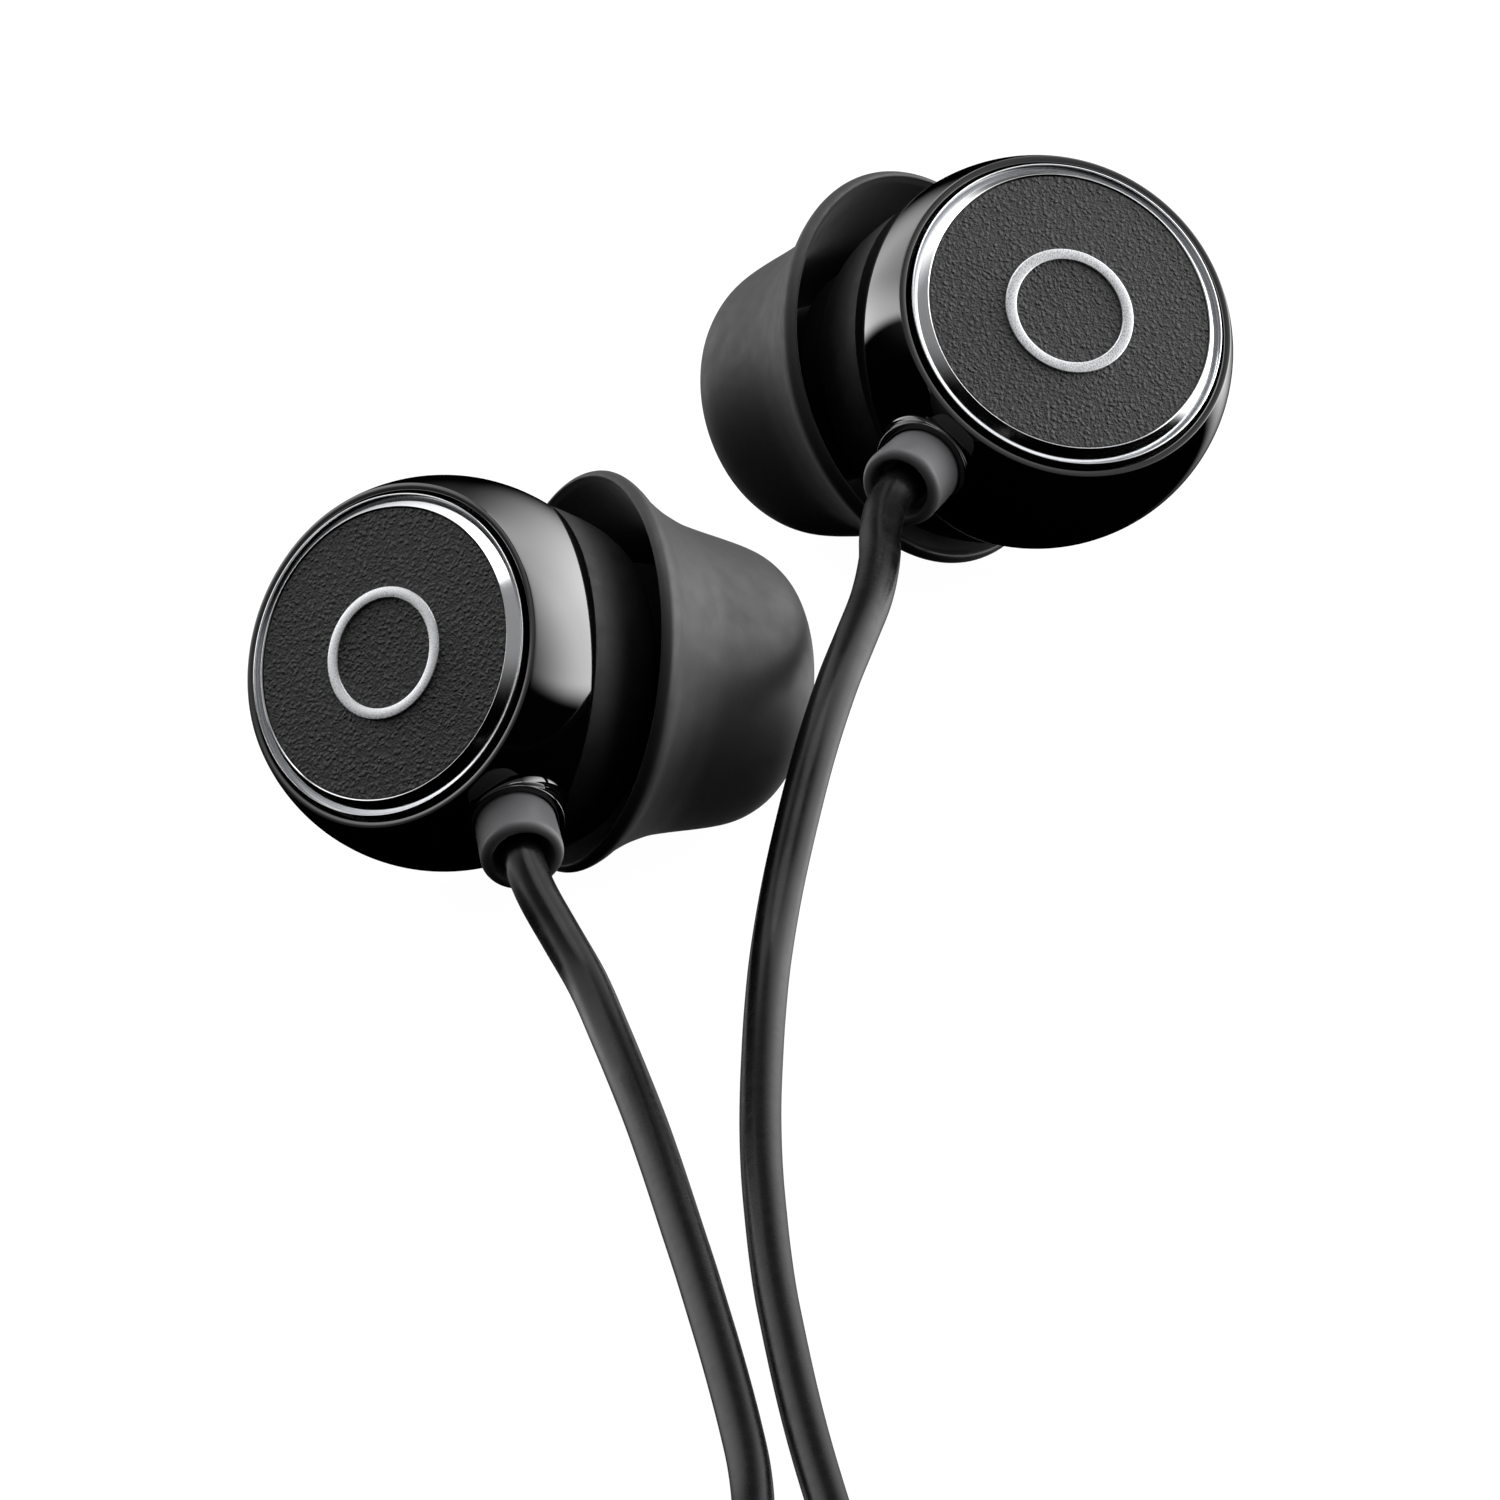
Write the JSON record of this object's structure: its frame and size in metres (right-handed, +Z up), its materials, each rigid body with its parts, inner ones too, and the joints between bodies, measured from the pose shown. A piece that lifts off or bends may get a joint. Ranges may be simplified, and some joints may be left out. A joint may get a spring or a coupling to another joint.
{
  "type": "wired earphones",
  "caption": "Wired in-ear earphones: ball-shaped earpieces with silicone tips, black cables with an in-line remote, a splitter and a 3.5 mm plug",
  "frame": {"origin": "on the table, under the middle of the two earpieces", "axes": "+Z up; the earpieces lie one behind the other along Y and their cables run towards -Y"},
  "size_m": [0.0531, 0.1958, 0.015],
  "materials": {
    "face_leather_grain": "pebbled black insert with a fine leather grain",
    "polished_metal": "bevelled and brushed silver metal",
    "gloss_black": "high-gloss black lacquered shell",
    "satin_black": "satin black moulded plastic",
    "steel_mesh": "woven or pressed steel",
    "damper_foam": "grey acoustic foam",
    "driver_plastic": "moulded driver basket",
    "magnet": "nickel-plated magnet",
    "soft_iron": "plated soft iron",
    "copper": "enamelled copper wire",
    "film": "thin moulded film",
    "crimp_brass": "crimped ferrule",
    "relief_rubber": "matte dark grey rubber",
    "silicone": "matte dark grey silicone",
    "cable_jacket": "satin black cable jacket",
    "tie_band": "matte black band",
    "remote_case": "gloss black moulded plastic",
    "button_plastic": "satin black keys",
    "circuit_board": "green solder mask",
    "plug_metal": "polished plated contacts",
    "insulator": "black insulating bands"
  },
  "bodies": {
    "earphones": {"right_face_insert": "face_leather_grain", "right_emblem": "polished_metal", "right_trim_ring": "polished_metal", "right_front_shell": "gloss_black", "right_rear_shell": "satin_black", "right_nozzle_mesh": "steel_mesh", "right_nozzle_damper": "damper_foam", "right_driver_frame": "driver_plastic", "right_magnet": "magnet", "right_pole_plate": "soft_iron", "right_yoke": "soft_iron", "right_cable_crimp": "crimp_brass", "right_strain_relief": "relief_rubber", "left_face_insert": "face_leather_grain", "left_emblem": "polished_metal", "left_trim_ring": "polished_metal", "left_front_shell": "gloss_black", "left_rear_shell": "satin_black", "left_nozzle_mesh": "steel_mesh", "left_nozzle_damper": "damper_foam", "left_driver_frame": "driver_plastic", "left_magnet": "magnet", "left_pole_plate": "soft_iron", "left_yoke": "soft_iron", "left_cable_crimp": "crimp_brass", "left_strain_relief": "relief_rubber", "right_cable_upper": "cable_jacket", "right_cable_lower": "cable_jacket", "right_coil": "cable_jacket", "right_cable_end": "cable_jacket", "left_cable": "cable_jacket", "left_coil": "cable_jacket", "left_cable_end": "cable_jacket", "main_cable_start": "cable_jacket", "main_coil": "cable_jacket", "main_cable_end": "cable_jacket", "coil_ties": "tie_band", "remote_rear_shell": "remote_case", "remote_front_shell": "remote_case", "remote_board": "circuit_board", "remote_switches": "steel_mesh", "remote_microphone": "steel_mesh", "remote_strain_reliefs": "relief_rubber", "splitter": "remote_case", "plug_body": "remote_case", "plug_strain_relief": "relief_rubber", "plug_sleeve": "plug_metal", "plug_rings": "plug_metal", "plug_tip": "plug_metal", "plug_insulators": "insulator"},
    "right_tip": {"right_ear_tip": "silicone"},
    "left_tip": {"left_ear_tip": "silicone"},
    "right_diaphragm_unit": {"right_diaphragm": "film", "right_voice_coil": "copper"},
    "left_diaphragm_unit": {"left_diaphragm": "film", "left_voice_coil": "copper"},
    "plus_key": {"remote_button_plus": "button_plastic"},
    "centre_key": {"remote_button_centre": "button_plastic"},
    "minus_key": {"remote_button_minus": "button_plastic"}
  },
  "joints": [
    {"name": "right_tip_turn", "type": "hinge", "parent": "earphones", "child": "right_tip", "pos_m": [-0.01034, -0.01171, 0.00859], "axis": [0.8692, 0.3459, -0.3535], "continuous": true},
    {"name": "right_diaphragm_travel", "type": "slide", "parent": "earphones", "child": "right_diaphragm_unit", "axis": [0.8692, 0.3459, -0.3535], "range_m": [-0.00015, 0.00015], "stiffness_N_per_m": 150},
    {"name": "left_tip_turn", "type": "hinge", "parent": "earphones", "child": "left_tip", "pos_m": [0.01043, 0.01048, 0.0088], "axis": [-0.7763, 0.4984, -0.3859], "continuous": true},
    {"name": "left_diaphragm_travel", "type": "slide", "parent": "earphones", "child": "left_diaphragm_unit", "axis": [-0.7763, 0.4984, -0.3859], "range_m": [-0.00015, 0.00015], "stiffness_N_per_m": 150},
    {"name": "plus_press", "type": "slide", "parent": "earphones", "child": "plus_key", "axis": [0, 0, -1], "range_m": [0, 0.0004], "stiffness_N_per_m": 500, "springref_m": -0.0002},
    {"name": "centre_press", "type": "slide", "parent": "earphones", "child": "centre_key", "axis": [0, 0, -1], "range_m": [0, 0.0004], "stiffness_N_per_m": 500, "springref_m": -0.0002},
    {"name": "minus_press", "type": "slide", "parent": "earphones", "child": "minus_key", "axis": [0, 0, -1], "range_m": [0, 0.0004], "stiffness_N_per_m": 500, "springref_m": -0.0002}
  ]
}
